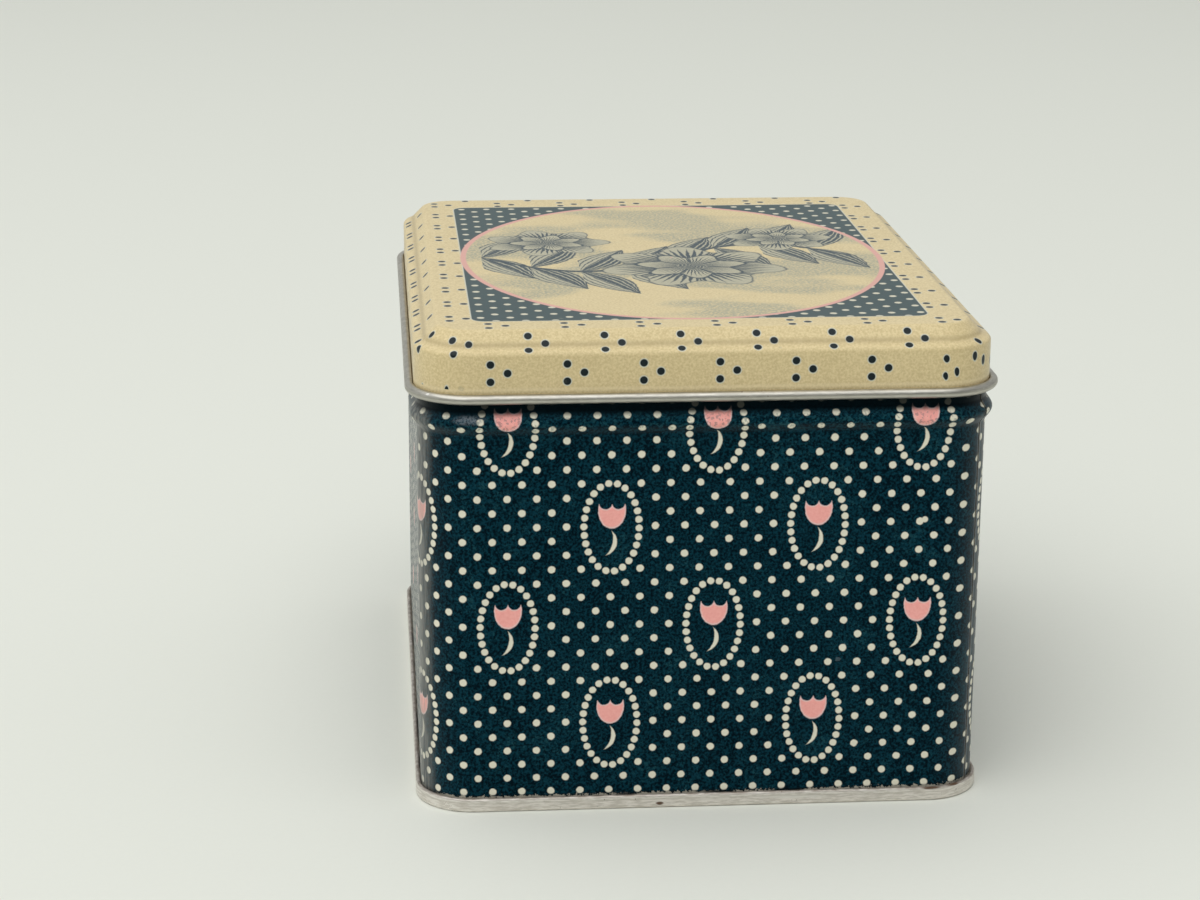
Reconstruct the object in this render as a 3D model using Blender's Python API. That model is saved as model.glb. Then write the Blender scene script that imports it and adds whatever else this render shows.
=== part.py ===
# Decorative slip-lid tin: a wrapped sheet body, a seamed-on base and a lift-off lid.
# Units are metres, +Z is up and the origin is the middle of the footprint.
# X runs along the narrow front, Y runs from the front to the back.

import math

import bmesh
import bpy

for leftover in list(bpy.data.objects):
    bpy.data.objects.remove(leftover, do_unlink=True)

mm = 0.001
quarter_turn = math.pi / 2.0

# Outside of the flat walls, and the sheet that everything is folded from
tin_width = 127.0 * mm
tin_depth = 158.0 * mm
body_height = 105.4 * mm
corner_radius = 12.0 * mm
tightest_corner = 1.0 * mm      # a panel deeper in than the corner radius keeps this much round
sheet = 0.28 * mm

# Clearances
lid_clearance = 0.30 * mm       # lid skirt to body neck
seat_clearance = 0.32 * mm      # lid ledge above the body's top hem
seam_clearance = 0.10 * mm      # between the layers of a folded seam
bead_clearance = 1.8 * mm       # stop bead below the lid's curled rim
lock_foot_clearance = 1.1 * mm  # side seam above the base panel
lock_head_clearance = 1.6 * mm  # side seam below the top hem

# Body: stop bead and the safe edge folded in at the top
bead_half_height = 2.9 * mm
bead_proud = 1.5 * mm
hem_length = 2.6 * mm
hem_gap = 0.20 * mm

# Double seam round the foot, and the stamped base panel inside it
seam_hook = 1.78 * mm           # straight part of the interlocked hooks
foot_bend = 0.30 * mm
base_panel_height = 3.3 * mm
base_panel_bend = 0.4 * mm
base_step_inset = 7.0 * mm
base_step_run = 1.0 * mm
base_step_rise = 0.7 * mm
base_flat_run = 1.5 * mm        # flat ring inside the step, before the middle panel

# Lock seam up the side, wrapped on the front right corner
lock_angle = math.radians(53.0)
lock_width = 3.0 * mm
lock_slit = 0.15 * mm           # the groove that shows outside
lock_overlap = 0.6 * mm         # a fold's root runs this far into its sheet
weld_inset = 0.04 * mm          # and lies this far under the sheet's faces

# Lid: flat panel, sloping shoulder, small ledge, skirt and hollow curled rim
lid_ledge_inset = 1.5 * mm
lid_ledge_rise = 1.0 * mm
lid_shoulder_run = 3.1 * mm
lid_shoulder_rise = 3.2 * mm
lid_flat_run = 3.4 * mm         # flat ring inside the shoulder, before the middle panel
lid_panel_bend = 1.3 * mm
lid_ledge_bend = 0.9 * mm
lid_edge_bend = 0.8 * mm
lid_skirt_drop = 9.9 * mm       # middle of the curl below the lid's edge
curl_radius = 1.10 * mm
curl_sweep = math.radians(303.0)

# Fineness of the curves
corner_steps = 10
curl_steps = 14
fold_steps = 5
bend_steps = 3
bead_steps = 12
lock_fold_steps = 3
lock_run_steps = 3

# The bead is a raised cosine with a fuller crown
bead_fullness_share = 0.8

# Heights down the lid, and the bead that follows it
lid_edge = body_height + seat_clearance + sheet
lid_curl_middle = lid_edge - lid_skirt_drop
bead_middle = lid_curl_middle - curl_radius - bead_clearance - bead_half_height

# Folds of the top hem and of the double seam
hem_radius = sheet + hem_gap / 2.0
hem_turn_height = body_height - hem_radius
hem_end_height = hem_turn_height - hem_length
seam_layer = sheet + seam_clearance
seam_inner_radius = seam_clearance + sheet / 2.0
seam_outer_radius = seam_inner_radius + sheet
body_hook_place = seam_layer + seam_clearance
seam_bottom_turn = seam_layer + seam_outer_radius
seam_top_turn = seam_bottom_turn + seam_hook

# The side seam starts above the base and ends below the hem
lock_line = lock_angle - quarter_turn
lock_radius = (3.0 * sheet + 2.0 * seam_clearance) / 2.0
lock_foot = max(base_panel_height, seam_top_turn + seam_outer_radius) + lock_foot_clearance
lock_head = hem_end_height - lock_head_clearance


# Places on a section are pairs: distance outside the wall's face, and height
def arc(centre, radius, start, sweep, steps):
    points = []
    for step in range(steps + 1):
        angle = start + sweep * step / steps
        points.append((centre[0] + radius * math.cos(angle), centre[1] + radius * math.sin(angle)))
    return points


# One face of a bent sheet. The sheet lies right of the path, so where the path turns right
# the bend inside the sheet is smaller than the path's own arc by the sheet's thickness.
def bent_path(corners, bends):
    points = [corners[0]]
    for before, corner, after, bend in zip(corners, corners[1:], corners[2:], bends):
        heading = math.atan2(corner[1] - before[1], corner[0] - before[0])
        turn = math.atan2(after[1] - corner[1], after[0] - corner[0]) - heading
        turn = (turn + math.pi) % (2.0 * math.pi) - math.pi
        side = math.copysign(1.0, turn)
        radius = bend if side > 0.0 else bend + sheet
        reach = radius * math.tan(abs(turn) / 2.0)
        start = (corner[0] - reach * math.cos(heading), corner[1] - reach * math.sin(heading))
        centre = (start[0] - side * radius * math.sin(heading),
                  start[1] + side * radius * math.cos(heading))
        points += arc(centre, radius, heading - side * quarter_turn, turn, bend_steps)
    points.append(corners[-1])
    return points


# The other face of the sheet, one thickness right of the path
def other_face(points):
    face = []
    for before, point, after in zip([None] + points, points, points[1:] + [None]):
        normals = []
        for first, second in ((before, point), (point, after)):
            if first and second:
                run = second[0] - first[0]
                rise = second[1] - first[1]
                length = math.hypot(run, rise)
                normals.append((rise / length, -run / length))
        across = sum(normal[0] for normal in normals)
        upward = sum(normal[1] for normal in normals)
        length = math.hypot(across, upward)
        mitre = (across * normals[0][0] + upward * normals[0][1]) / length
        reach = sheet / (mitre * length)
        face.append((point[0] + across * reach, point[1] + upward * reach))
    return face


def closed_section(face):
    return face + other_face(face)[::-1]


# Stations round the tin: the corner they belong to, as signs of X and Y, and an angle.
# The walk starts at an angle of the front right corner and goes once round to another.
def stations(start_angle, end_angle):
    corners = [(1.0, -1.0, start_angle, 0.0),
               (1.0, 1.0, 0.0, quarter_turn),
               (-1.0, 1.0, quarter_turn, 2.0 * quarter_turn),
               (-1.0, -1.0, 2.0 * quarter_turn, 3.0 * quarter_turn),
               (1.0, -1.0, 3.0 * quarter_turn, end_angle)]
    places = []
    for side_x, side_y, first, last in corners:
        if last > first:
            steps = math.ceil(corner_steps * (last - first) / quarter_turn)
            for step in range(steps + 1):
                places.append((side_x, side_y, first + (last - first) * step / steps))
    return places


def placed(station, offset, height):
    side_x, side_y, angle = station
    radius = max(corner_radius + offset, tightest_corner)
    inset = offset - radius
    return (side_x * (tin_width / 2.0 + inset) + radius * math.cos(angle),
            side_y * (tin_depth / 2.0 + inset) + radius * math.sin(angle),
            height)


def new_object(name, mesh_data, material):
    mesh = bpy.data.meshes.new(name)
    mesh_data.to_mesh(mesh)
    mesh_data.free()
    mesh.materials.append(material)
    piece = bpy.data.objects.new(name, mesh)
    bpy.context.collection.objects.link(piece)
    return piece


def shade(piece):
    piece.data.shade_smooth()
    piece.data.set_sharp_from_angle(angle=math.radians(35.0))


# Quads between rows of vertices; a looped row also joins its last vertex to its first
def skin(mesh, rows, looped):
    for here, there in zip(rows, rows[1:]):
        for index in range(len(here) if looped else len(here) - 1):
            following = (index + 1) % len(here)
            mesh.faces.new((here[index], there[index], there[following], here[following]))


# An open sheet: the closed section goes round the tin and stops at two end faces
def sheet_mesh(section, places):
    mesh = bmesh.new()
    rows = [[mesh.verts.new(placed(place, offset, height)) for offset, height in section]
            for place in places]
    skin(mesh, rows, True)
    mesh.faces.new(rows[0])
    mesh.faces.new(rows[-1])
    bmesh.ops.recalc_face_normals(mesh, faces=mesh.faces)
    return mesh


# A pan: the section goes right round, and flat panels close the middle of its two faces
def pan_mesh(section):
    mesh = bmesh.new()
    rows = [[mesh.verts.new(placed(place, offset, height)) for offset, height in section]
            for place in stations(-quarter_turn, 3.0 * quarter_turn)]
    skin(mesh, rows + rows[:1], False)
    mesh.faces.new([row[0] for row in rows])
    mesh.faces.new([row[-1] for row in rows])
    bmesh.ops.recalc_face_normals(mesh, faces=mesh.faces)
    return mesh


def tin_material(name, colour, roughness, metallic):
    material = bpy.data.materials.new(name)
    material.use_nodes = True
    shader = material.node_tree.nodes["Principled BSDF"]
    shader.inputs["Base Color"].default_value = (*colour, 1.0)
    shader.inputs["Roughness"].default_value = roughness
    shader.inputs["Metallic"].default_value = metallic
    return material


def bead_path():
    points = []
    for step in range(bead_steps + 1):
        across = 2.0 * step / bead_steps - 1.0
        swell = (0.5 + 0.5 * math.cos(math.pi * across)) ** bead_fullness_share
        points.append((bead_proud * swell, bead_middle + bead_half_height * across))
    return points


# Wall from the top down: inward hem, neck, stop bead, plain wall and the hook of the seam
def body_face():
    face = [(-2.0 * hem_radius, hem_end_height)]
    face += arc((-hem_radius, hem_turn_height), hem_radius, math.pi, -math.pi, fold_steps)
    face += bead_path()[::-1]
    face += arc((body_hook_place / 2.0, seam_bottom_turn), seam_inner_radius, math.pi, math.pi, fold_steps)
    face += [(body_hook_place, seam_top_turn)]
    return face


# A fold of the side seam, from its outline in plan: distance along the wall from the seam
# line, and depth below the wall's face. It rises over the stop bead with the wall, where
# the depth is stretched as the wall slopes, so that the layers keep their distance.
def fold_mesh(outline):
    levels = [(0.0, lock_foot)] + bead_path() + [(0.0, lock_head)]
    mesh = bmesh.new()
    rows = []
    for below, (swell, height), above in zip(levels[:1] + levels, levels, levels[1:] + levels[-1:]):
        rise = above[1] - below[1]
        stretch = math.hypot(above[0] - below[0], rise) / rise
        rows.append([mesh.verts.new(placed((1.0, -1.0, lock_line + along / corner_radius),
                                           swell - depth * stretch, height))
                     for along, depth in outline])
    skin(mesh, rows, True)
    mesh.faces.new(rows[0])
    mesh.faces.new(rows[-1])
    bmesh.ops.recalc_face_normals(mesh, faces=mesh.faces)
    return mesh


# A layer of the side seam from one place along the wall to another, without the first
def layer_run(first, last, depth):
    return [(first + (last - first) * step / lock_run_steps, depth)
            for step in range(1, lock_run_steps + 1)]


# The front's end turns inwards and back under itself
def front_fold():
    turn = -lock_radius
    middle = (turn, lock_radius)
    third_layer = 2.0 * seam_layer
    outline = [(turn - lock_overlap, weld_inset), (turn, weld_inset)]
    outline += arc(middle, lock_radius - weld_inset, -quarter_turn, quarter_turn, lock_fold_steps)[1:]
    outline += arc(middle, lock_radius, 0.0, quarter_turn, lock_fold_steps)[1:]
    outline += layer_run(turn, turn - lock_width, third_layer + sheet)
    outline += [(turn - lock_width, third_layer)]
    outline += layer_run(turn - lock_width, turn, third_layer)
    outline += arc(middle, lock_radius - sheet, quarter_turn, -math.pi, 2 * lock_fold_steps)[1:-1]
    outline += [(turn, sheet - weld_inset), (turn - lock_overlap, sheet - weld_inset)]
    return outline


# The side's end steps in under the front's, then turns outwards into its fold
def side_fold():
    turn = -lock_width - seam_clearance - lock_radius
    middle = (turn, seam_layer + lock_radius)
    hook_end = -lock_radius - seam_clearance
    fourth_layer = 3.0 * seam_layer
    root = lock_slit + lock_overlap
    outline = [(root, weld_inset), (root, sheet - weld_inset), (lock_slit + sheet, sheet - weld_inset)]
    outline += [(lock_slit + sheet, fourth_layer + sheet)]
    outline += layer_run(lock_slit + sheet, turn, fourth_layer + sheet)
    outline += arc(middle, lock_radius, quarter_turn, math.pi, 2 * lock_fold_steps)[1:]
    outline += layer_run(turn, hook_end, seam_layer)
    outline += [(hook_end, seam_layer + sheet)]
    outline += layer_run(hook_end, turn, seam_layer + sheet)
    outline += arc(middle, lock_radius - sheet, -quarter_turn, -math.pi, 2 * lock_fold_steps)[1:]
    outline += layer_run(turn, lock_slit, fourth_layer)
    outline += [(lock_slit, weld_inset)]
    return outline


def join(target, mesh_data, name):
    fold = new_object(name, mesh_data, target.data.materials[0])
    fold.hide_render = True
    fold.display_type = "WIRE"
    union = target.modifiers.new(name, "BOOLEAN")
    union.operation = "UNION"
    union.solver = "EXACT"
    union.object = fold


def build_body(material):
    front_end = lock_line - lock_radius / corner_radius + 2.0 * math.pi
    side_end = lock_line + lock_slit / corner_radius
    wall = sheet_mesh(closed_section(body_face()), stations(side_end, front_end))
    body = new_object("body_wall", wall, material)
    join(body, fold_mesh(front_fold()), "front_fold")
    join(body, fold_mesh(side_fold()), "side_fold")
    shade(body)


# Upper face of the base, from its middle outwards: the panel with its stamped step, the wall
# inside the body, the foot that the tin stands on, the seaming wall and the hook
def base_face():
    step_top = base_panel_height + base_step_rise
    step_end = -(base_step_inset + base_step_run)
    hook_middle = (body_hook_place + sheet / 2.0, seam_top_turn)
    corners = [(step_end - base_flat_run, step_top),
               (step_end, step_top),
               (-base_step_inset, base_panel_height),
               (-seam_layer, base_panel_height),
               (-seam_layer, sheet),
               (3.0 * seam_layer - sheet, sheet),
               (3.0 * seam_layer - sheet, seam_top_turn)]
    bends = [base_panel_bend, base_panel_bend, base_panel_bend, foot_bend, foot_bend]
    face = bent_path(corners, bends)[:-1]
    face += arc(hook_middle, seam_inner_radius, 0.0, math.pi, fold_steps)
    face += [(seam_layer, seam_bottom_turn)]
    return face


def build_base(material):
    shade(new_object("base", pan_mesh(closed_section(base_face())), material))


# Lid from the middle outwards: panel, shoulder, ledge and skirt, with an open hollow curl
def lid_face():
    skirt = lid_clearance + sheet
    ledge = lid_edge + lid_ledge_rise
    panel = ledge + lid_shoulder_rise
    panel_end = -(lid_ledge_inset + lid_shoulder_run)
    curl_path_radius = curl_radius - sheet
    corners = [(panel_end - lid_flat_run, panel),
               (panel_end, panel),
               (-lid_ledge_inset, ledge),
               (skirt, lid_edge),
               (skirt, lid_curl_middle)]
    face = bent_path(corners, [lid_panel_bend, lid_ledge_bend, lid_edge_bend])[:-1]
    face += arc((skirt + curl_path_radius, lid_curl_middle), curl_path_radius,
                math.pi, curl_sweep, curl_steps)
    return face


def build_lid(material):
    shade(new_object("lid", pan_mesh(closed_section(lid_face())), material))


build_body(tin_material("body_print", (0.012, 0.060, 0.085), 0.35, 0.0))
build_base(tin_material("tinplate", (0.62, 0.60, 0.55), 0.38, 1.0))
build_lid(tin_material("lid_print", (0.74, 0.62, 0.36), 0.35, 0.0))
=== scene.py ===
import math
from functools import reduce

import bmesh
import bpy
from mathutils import Matrix, Vector, noise


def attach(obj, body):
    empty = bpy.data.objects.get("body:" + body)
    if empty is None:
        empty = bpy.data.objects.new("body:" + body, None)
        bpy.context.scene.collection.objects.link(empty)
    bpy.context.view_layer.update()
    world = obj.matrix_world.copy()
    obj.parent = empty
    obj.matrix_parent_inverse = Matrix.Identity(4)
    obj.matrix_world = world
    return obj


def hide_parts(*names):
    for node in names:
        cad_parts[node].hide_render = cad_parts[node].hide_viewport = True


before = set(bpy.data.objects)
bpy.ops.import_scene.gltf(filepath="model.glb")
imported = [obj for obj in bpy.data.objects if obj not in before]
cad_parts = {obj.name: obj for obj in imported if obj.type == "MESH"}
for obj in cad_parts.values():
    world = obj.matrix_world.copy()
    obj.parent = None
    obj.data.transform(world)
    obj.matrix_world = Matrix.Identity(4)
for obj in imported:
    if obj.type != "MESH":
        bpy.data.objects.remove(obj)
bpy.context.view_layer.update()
print("frame loaded")

mm = 0.001
quarterTurn = math.pi / 2.0
fullTurn = 2.0 * math.pi
nothing = 1e-9              # lengths under this count as none

# the sizes that all three sheets share, as in the part's source
tin = {
    "width": 127.0 * mm,
    "depth": 158.0 * mm,
    "height": 105.4 * mm,
    "cornerRadius": 12.0 * mm,
    "tightestCorner": 1.0 * mm,
    "sheet": 0.28 * mm,
    "cornerSteps": 24,
    "wallSteps": 14,
    "seamGap": 0.10 * mm,
    "panelReach": 62.0 * mm,    # how far in from the wall the panels' rows go, short of the middle
}
halfWidth = tin["width"] / 2.0
halfDepth = tin["depth"] / 2.0
sheet = tin["sheet"]
seamLayer = sheet + tin["seamGap"]
seamInner = tin["seamGap"] + sheet / 2.0
seamOuter = seamInner + sheet
hookPlace = seamLayer + tin["seamGap"]
seamBottom = seamLayer + seamOuter
seamTop = seamBottom + 1.78 * mm


# Sections are drawn as pairs: distance outside the wall's face, and height

def arcPoints(centre, radius, start, sweep, steps):
    return [(centre[0] + radius * math.cos(start + sweep * step / steps),
             centre[1] + radius * math.sin(start + sweep * step / steps)) for step in range(steps + 1)]


def bentPath(corners, bends, steps):
    points = [corners[0]]
    for before, corner, after, bend in zip(corners, corners[1:], corners[2:], bends):
        heading = math.atan2(corner[1] - before[1], corner[0] - before[0])
        turn = math.atan2(after[1] - corner[1], after[0] - corner[0]) - heading
        turn = (turn + math.pi) % fullTurn - math.pi
        side = math.copysign(1.0, turn)
        radius = bend if side > 0.0 else bend + sheet
        reach = radius * math.tan(abs(turn) / 2.0)
        start = (corner[0] - reach * math.cos(heading), corner[1] - reach * math.sin(heading))
        centre = (start[0] - side * radius * math.sin(heading), start[1] + side * radius * math.cos(heading))
        points += arcPoints(centre, radius, heading - side * quarterTurn, turn, steps)
    points.append(corners[-1])
    return points


def otherFace(points):  # one sheet thickness right of the path
    face = []
    for before, point, after in zip([None] + points, points, points[1:] + [None]):
        normals = []
        for first, second in ((before, point), (point, after)):
            if first and second:
                run, rise = second[0] - first[0], second[1] - first[1]
                length = math.hypot(run, rise)
                normals.append((rise / length, -run / length))
        across = sum(normal[0] for normal in normals)
        upward = sum(normal[1] for normal in normals)
        length = math.hypot(across, upward)
        mitre = (across * normals[0][0] + upward * normals[0][1]) / length
        reach = sheet / (mitre * length)
        face.append((point[0] + across * reach, point[1] + upward * reach))
    return face


def splitRun(first, last, steps):  # points after the first, up to the last
    return [(first[0] + (last[0] - first[0]) * step / steps,
             first[1] + (last[1] - first[1]) * step / steps) for step in range(1, steps + 1)]


def developed(points, start):  # length along the sheet from its first point
    lengths = [start]
    for first, second in zip(points, points[1:]):
        lengths.append(lengths[-1] + math.hypot(second[0] - first[0], second[1] - first[1]))
    return lengths


# A station is a place round the tin: shares of the two half sizes, the angle that the wall
# faces there, and the length along the wall from the lock seam
def stationWalk(startAngle, endAngle, seamAngle):
    radius = tin["cornerRadius"]
    corners = [(1, -1, startAngle, 0.0), (1, 1, 0.0, quarterTurn), (-1, 1, quarterTurn, 2 * quarterTurn),
               (-1, -1, 2 * quarterTurn, 3 * quarterTurn), (1, -1, 3 * quarterTurn, endAngle)]
    runs = [2 * (halfDepth - radius), 2 * (halfWidth - radius)] * 2
    places = []
    straight = 0.0
    for index, (sideX, sideY, first, last) in enumerate(corners):
        if last > first:
            steps = max(1, math.ceil(tin["cornerSteps"] * (last - first) / quarterTurn))
            for step in range(steps + 1):
                angle = first + (last - first) * step / steps
                places.append((sideX, sideY, angle, straight + radius * (angle - seamAngle)))
        if index < 4:
            nextX, nextY = corners[index + 1][:2]
            for step in range(1, tin["wallSteps"]):
                share = step / tin["wallSteps"]
                places.append((sideX + (nextX - sideX) * share, sideY + (nextY - sideY) * share, last,
                               straight + runs[index] * share + radius * (last - seamAngle)))
            straight += runs[index]
    return places


def placePoint(station, offset, height):
    radius = max(tin["cornerRadius"] + offset, tin["tightestCorner"])
    inset = offset - radius
    return Vector((station[0] * (halfWidth + inset) + radius * math.cos(station[2]),
                   station[1] * (halfDepth + inset) + radius * math.sin(station[2]), height))


def finishPiece(name, mesh, materials, printPlaces):
    mesh.normal_update()
    layer = mesh.loops.layers.uv.new("printMap")
    for face in mesh.faces:
        for loop in face.loops:
            loop[layer].uv = printPlaces.get(loop.vert, (0.0, 0.0))
    data = bpy.data.meshes.new(name)
    mesh.to_mesh(data)
    mesh.free()
    for material in materials:
        data.materials.append(material)
    piece = bpy.data.objects.new(name, data)
    bpy.context.collection.objects.link(piece)
    return piece


def skinRows(mesh, rows, looped, printed):  # printed tells which quads of a row carry the print
    for here, there in zip(rows, rows[1:]):
        for index in range(len(here) if looped else len(here) - 1):
            following = (index + 1) % len(here)
            quad = mesh.faces.new((here[index], there[index], there[following], here[following]))
            quad.material_index = 0 if printed(index) else 1


def shadeEdges(piece, angle=35.0):
    piece.data.shade_smooth()
    piece.data.set_sharp_from_angle(angle=math.radians(angle))


# A drawn corner keeps the area of its sheet, so on the flat sheet it reaches less far out
def drawnLengths(face, lengths):
    drawn = [lengths[0]]
    radius = tin["cornerRadius"]
    for index in range(1, len(face)):
        middle = radius + (face[index][0] + face[index - 1][0]) / 2.0
        before = radius + drawn[-1]
        if before < tin["tightestCorner"] or middle < tin["tightestCorner"]:
            drawn.append(lengths[index])
        else:
            area = before * before + 2.0 * middle * (lengths[index] - lengths[index - 1])
            drawn.append(math.sqrt(area) - radius)
    return drawn


def flatPlace(station, offset):  # on the sheet laid flat, in mm
    point = placePoint(station, offset, 0.0)
    return (point.x / mm, point.y / mm)


def panMesh(face, places):
    section = face + otherFace(face)[::-1]
    lengths = developed(face, face[0][0])
    drawn = drawnLengths(face, lengths)
    mesh = bmesh.new()
    printPlaces = {}
    rows = []
    for place in places:
        row = []
        cornerShare = abs(math.sin(2.0 * place[2]))
        for index, (offset, height) in enumerate(section):
            vert = mesh.verts.new(placePoint(place, offset, height))
            step = min(index, len(section) - 1 - index)
            printPlaces[vert] = flatPlace(place, lengths[step] + cornerShare * (drawn[step] - lengths[step]))
            row.append(vert)
        rows.append(row)
    skinRows(mesh, rows + rows[:1], False, lambda index: index < len(face) - 1)
    mesh.faces.new([row[0] for row in rows])
    mesh.faces.new([row[-1] for row in rows]).material_index = 1
    bmesh.ops.recalc_face_normals(mesh, faces=mesh.faces)
    return mesh, printPlaces


# Small helpers that place shader nodes. A Value is a socket that sums can be written with

class Value:
    def __init__(self, socket):
        self.socket = socket
        self.tree = socket.id_data
        self.isVector = socket.type != "VALUE"

    def __add__(self, other):
        return calc("ADD", self, other)

    def __radd__(self, other):
        return calc("ADD", other, self)

    def __sub__(self, other):
        return calc("SUBTRACT", self, other)

    def __rsub__(self, other):
        return calc("SUBTRACT", other, self)

    def __mul__(self, other):
        return calc("MULTIPLY", self, other)

    def __rmul__(self, other):
        return calc("MULTIPLY", self, other)

    def __truediv__(self, other):
        return calc("DIVIDE", self, other)

    def __abs__(self):
        return calc("ABSOLUTE", self)

    def __lt__(self, other):
        return calc("LESS_THAN", self, other)

    def __gt__(self, other):
        return calc("GREATER_THAN", self, other)


def addNode(tree, kind, **settings):
    made = tree.nodes.new(kind)
    for setting, value in settings.items():
        setattr(made, setting, value)
    return made


def feed(socket, value):
    if isinstance(value, Value):
        value.tree.links.new(value.socket, socket)
    else:
        socket.default_value = value


def calc(operation, *values):  # a vector times a number is scaled by it
    vectors = [isinstance(value, tuple) or isinstance(value, Value) and value.isVector for value in values]
    kind = "ShaderNodeVectorMath" if any(vectors) else "ShaderNodeMath"
    scaled = any(vectors) and not all(vectors)
    tree = next(value.tree for value in values if isinstance(value, Value))
    made = addNode(tree, kind, operation="SCALE" if scaled else operation)
    sockets = (made.inputs["Vector"], made.inputs["Scale"]) if scaled else made.inputs
    for socket, value in zip(sockets, values):
        feed(socket, value)
    plain = not any(vectors) or operation in ("LENGTH", "DOT_PRODUCT")
    return Value(made.outputs["Value" if plain else "Vector"])


def highest(*values):
    return reduce(lambda first, second: calc("MAXIMUM", first, second), values)


def lowest(*values):
    return reduce(lambda first, second: calc("MINIMUM", first, second), values)


def lengthOf(vector):
    return calc("LENGTH", vector)


def sineOf(angle):
    return calc("SINE", angle)


def cosineOf(angle):
    return calc("COSINE", angle)


def parts(vector):
    made = addNode(vector.tree, "ShaderNodeSeparateXYZ")
    feed(made.inputs[0], vector)
    return [Value(socket) for socket in made.outputs]


def joined(x, y):
    made = addNode(x.tree, "ShaderNodeCombineXYZ")
    feed(made.inputs[0], x)
    feed(made.inputs[1], y)
    return Value(made.outputs[0])


def ramp(value, edge, softness, first, last):
    made = addNode(value.tree, "ShaderNodeMapRange", interpolation_type="SMOOTHSTEP")
    for socket, number in zip(made.inputs, (value, edge - softness, edge + softness, first, last)):
        feed(socket, number)
    return Value(made.outputs[0])


def below(value, edge, softness):  # 1 where the value is under the edge, 0 over it
    return ramp(value, edge, softness, 1.0, 0.0)


def above(value, edge, softness):
    return ramp(value, edge, softness, 0.0, 1.0)


def blendColour(mask, under, over):
    made = addNode(mask.tree, "ShaderNodeMix", data_type="RGBA")
    for socket, value in zip((made.inputs[0], made.inputs[6], made.inputs[7]), (mask, under, over)):
        feed(socket, (*value, 1.0) if isinstance(value, tuple) else value)
    return Value(made.outputs[2])


def blendVector(mask, under, over):
    made = addNode(mask.tree, "ShaderNodeMix", data_type="VECTOR")
    for socket, value in zip((made.inputs[0], made.inputs[4], made.inputs[5]), (mask, under, over)):
        feed(socket, value)
    return Value(made.outputs[1])


def noiseNode(vector, **numbers):
    made = addNode(vector.tree, "ShaderNodeTexNoise")
    feed(made.inputs["Vector"], vector)
    for name, number in numbers.items():
        feed(made.inputs[name], number)
    return made


def cloud(vector, scale, detail=2.0, roughness=0.5):
    return Value(noiseNode(vector, Scale=scale, Detail=detail, Roughness=roughness).outputs["Fac"])


def shaken(vector, place, scale, amount):  # moved about by fine noise, as a print's edges are
    wobble = Value(noiseNode(place, Scale=scale).outputs["Color"])
    return vector + (wobble - (0.5, 0.5, 0.5)) * (amount, amount, 0.0)


def mapped(vector, scale, turn=(0.0, 0.0, 0.0)):
    made = addNode(vector.tree, "ShaderNodeMapping")
    feed(made.inputs["Vector"], vector)
    made.inputs["Rotation"].default_value = turn
    made.inputs["Scale"].default_value = scale
    return Value(made.outputs[0])


def newGroup(name, inputs, outputs):  # takes a vector and numbers, and gives masks
    group = bpy.data.node_groups.new(name, "ShaderNodeTree")
    group.interface.new_socket("Vector", in_out="INPUT", socket_type="NodeSocketVector")
    for label, value in inputs.items():
        group.interface.new_socket(label, in_out="INPUT", socket_type="NodeSocketFloat").default_value = value
    for label in outputs:
        group.interface.new_socket(label, in_out="OUTPUT", socket_type="NodeSocketFloat")
    given = [Value(socket) for socket in addNode(group, "NodeGroupInput").outputs[:len(inputs) + 1]]
    return group, given, addNode(group, "NodeGroupOutput").inputs


def useGroup(group, vector, **values):
    made = addNode(vector.tree, "ShaderNodeGroup", node_tree=group)
    for name, value in {"Vector": vector, **values}.items():
        feed(made.inputs[name], value)
    return [Value(socket) for socket in made.outputs]


# Ink that doesn't lie quite evenly: soft clouds, a fine grain and small paler flecks
def buildInkGroup():
    group, (vector, grain, flecks), result = newGroup("inkMottle", {"Grain": 2200.0, "Flecks": 0.5}, ("Tone", "Fleck"))
    broad = cloud(vector, 90.0, 3.0, 0.6)
    feed(result["Tone"], cloud(vector, grain, 2.0, 0.6) * 0.88 + broad * 0.12)
    spots = cloud(vector, 1500.0, 3.0, 0.65) * (broad + 0.5)
    feed(result["Fleck"], above(spots, 0.66, 0.09) * flecks)
    return group


# Fine scratches in two directions and small nicks
def buildWearGroup():
    group, (vector, amount), result = newGroup("wearMarks", {"Amount": 0.5}, ("Scratch", "Nick"))
    lines = [above(cloud(mapped(vector, (1.0, stretch, stretch), (turn, turn * 0.7, turn)), 22.0), 0.72, 0.02)
             for turn, stretch in ((0.4, 26.0), (2.1, 40.0))]
    feed(result["Scratch"], highest(*lines) * amount)
    cells = addNode(group, "ShaderNodeTexVoronoi", feature="F1")
    feed(cells.inputs["Vector"], vector)
    cells.inputs["Scale"].default_value = 130.0
    chosen = above(parts(Value(cells.outputs["Color"]))[0], 0.9, 0.01)
    size = cloud(vector, 1500.0) * 0.14
    feed(result["Nick"], chosen * below(Value(cells.outputs["Distance"]) - size, 0.0, 0.015) * amount)
    return group


# Rolled tinplate: drawn grain, cloudy stain and rust specks
def buildTinGroup():
    group, (vector, rust), result = newGroup("tinGrain", {"Rust": 0.2}, ("Grain", "Stain", "Rust"))
    feed(result["Grain"], cloud(mapped(vector, (1.0, 1.0, 7.0)), 420.0, 3.0, 0.6))
    feed(result["Stain"], cloud(vector, 130.0, 4.0, 0.65))
    spots = cloud(vector, 700.0, 3.0, 0.7) * 0.6 + cloud(vector, 60.0) * 0.4 + rust * 0.12
    feed(result["Rust"], above(spots, 0.70, 0.03))
    return group


inkMottle = buildInkGroup()
wearMarks = buildWearGroup()
tinGrain = buildTinGroup()
print("shared node groups built")


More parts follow.
